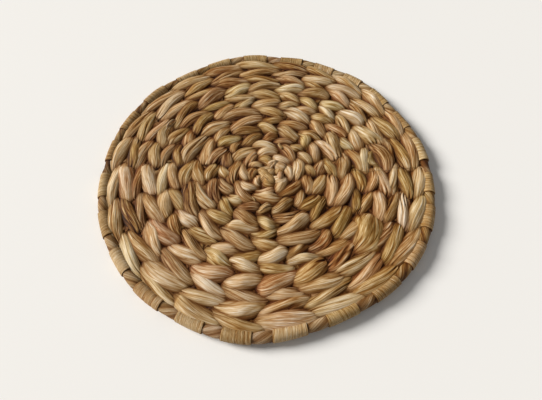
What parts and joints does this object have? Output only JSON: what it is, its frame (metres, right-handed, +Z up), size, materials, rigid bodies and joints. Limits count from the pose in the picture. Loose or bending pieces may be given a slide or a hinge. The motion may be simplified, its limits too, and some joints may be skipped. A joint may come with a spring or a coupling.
{
  "type": "woven coaster",
  "caption": "Flat round table mat twined from dried plant stalk on radial spokes, with a cord round its edge bound by short wraps; keeps a warm cup or pot off the table.",
  "frame": {"origin": "middle of the weave on its flat underside", "axes": "+Z up through the mat's thickness, +X and +Y across it; the edge is flattest towards +X -Y"},
  "size_m": [0.1994, 0.2013, 0.0085],
  "materials": {
    "stalk": "dried plant stalk, matt, fine lengthwise fibres",
    "rim_stalk": "dried plant stalk, matt, browner",
    "wrap_strip": "split stalk strip, slightly glossy, wound tight"
  },
  "bodies": {
    "root": {"woven_disc": "stalk", "rim_cord": "rim_stalk", "rim_wrap_01": "wrap_strip", "rim_wrap_02": "wrap_strip", "rim_wrap_03": "wrap_strip", "rim_wrap_04": "wrap_strip", "rim_wrap_05": "wrap_strip", "rim_wrap_06": "wrap_strip", "rim_wrap_07": "wrap_strip", "rim_wrap_08": "wrap_strip", "rim_wrap_09": "wrap_strip", "rim_wrap_10": "wrap_strip", "rim_wrap_11": "wrap_strip", "rim_wrap_12": "wrap_strip", "rim_wrap_13": "wrap_strip", "rim_wrap_14": "wrap_strip", "rim_wrap_15": "wrap_strip", "rim_wrap_16": "wrap_strip", "rim_wrap_17": "wrap_strip", "rim_wrap_18": "wrap_strip", "rim_wrap_19": "wrap_strip", "rim_wrap_20": "wrap_strip", "rim_wrap_21": "wrap_strip", "rim_wrap_22": "wrap_strip", "rim_wrap_23": "wrap_strip", "rim_wrap_24": "wrap_strip"}
  },
  "joints": []
}
